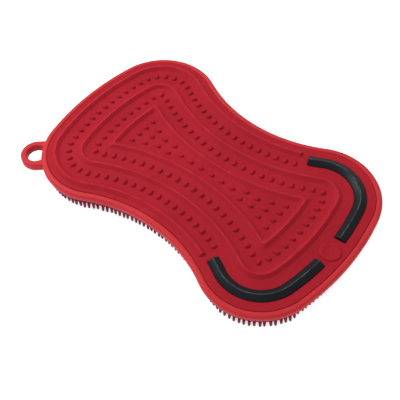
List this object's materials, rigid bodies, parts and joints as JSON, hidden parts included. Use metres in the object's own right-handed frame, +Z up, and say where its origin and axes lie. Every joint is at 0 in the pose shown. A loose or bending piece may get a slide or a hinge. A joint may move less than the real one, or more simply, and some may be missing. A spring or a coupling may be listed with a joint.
{
  "type": "rubber curry brush",
  "caption": "Hourglass hand pad of soft rubber: ridges, nubs and two scraper strips on top, a mat of short bristles below, and a corner hanging loop.",
  "frame": {"origin": "middle of the pad's outline, on the plane of the bristle tips that it rests on", "axes": "+X along the pad towards the scraper strips, +Y across it, +Z up out of the ridged panel"},
  "size_m": [0.13, 0.0814, 0.009],
  "materials": {
    "shell_rubber": "smooth satin silicone rubber, bright red",
    "bristle_rubber": "satin rubber, dark maroon",
    "core_plastic": "plain thin sheet, hidden",
    "panel_rubber": "fine matte silicone rubber, deep red",
    "strip_plastic": "satin black hard elastomer"
  },
  "bodies": {
    "root": {"brush_shell": "shell_rubber", "bristle_field": "bristle_rubber", "core_sheet": "core_plastic", "face_panel": "panel_rubber", "scraper_strip_near": "strip_plastic", "scraper_strip_far": "strip_plastic"}
  },
  "joints": []
}
